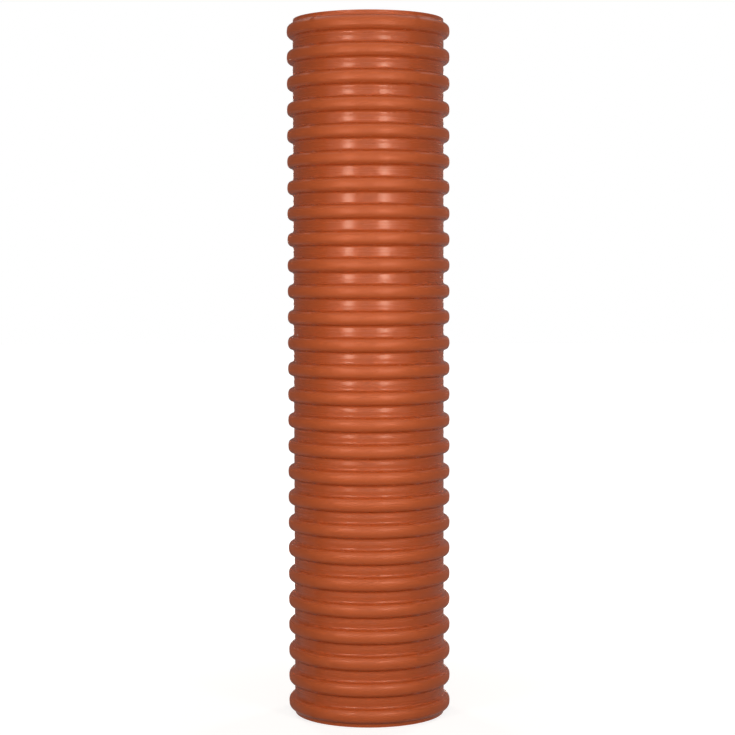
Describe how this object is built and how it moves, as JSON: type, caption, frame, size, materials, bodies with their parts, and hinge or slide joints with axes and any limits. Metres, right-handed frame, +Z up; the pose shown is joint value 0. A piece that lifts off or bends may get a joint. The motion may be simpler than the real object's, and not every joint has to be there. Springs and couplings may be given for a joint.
{
  "type": "inspection chamber riser pipe",
  "caption": "Upright single-wall corrugated riser pipe for a drainage inspection chamber: even round ribs, flat valleys and two open, square-sawn ends.",
  "frame": {"origin": "centre of the lower sawn end, on the pipe's axis", "axes": "+Z up along the pipe's axis, from the lower sawn end to the upper one; +X and +Y are any two directions across it, with -Y towards the picture's viewer"},
  "size_m": [0.4678, 0.4678, 2],
  "materials": {
    "pipe_plastic": "satin orange-brown polypropylene, as extruded"
  },
  "bodies": {
    "root": {"riser_pipe": "pipe_plastic"}
  },
  "joints": []
}
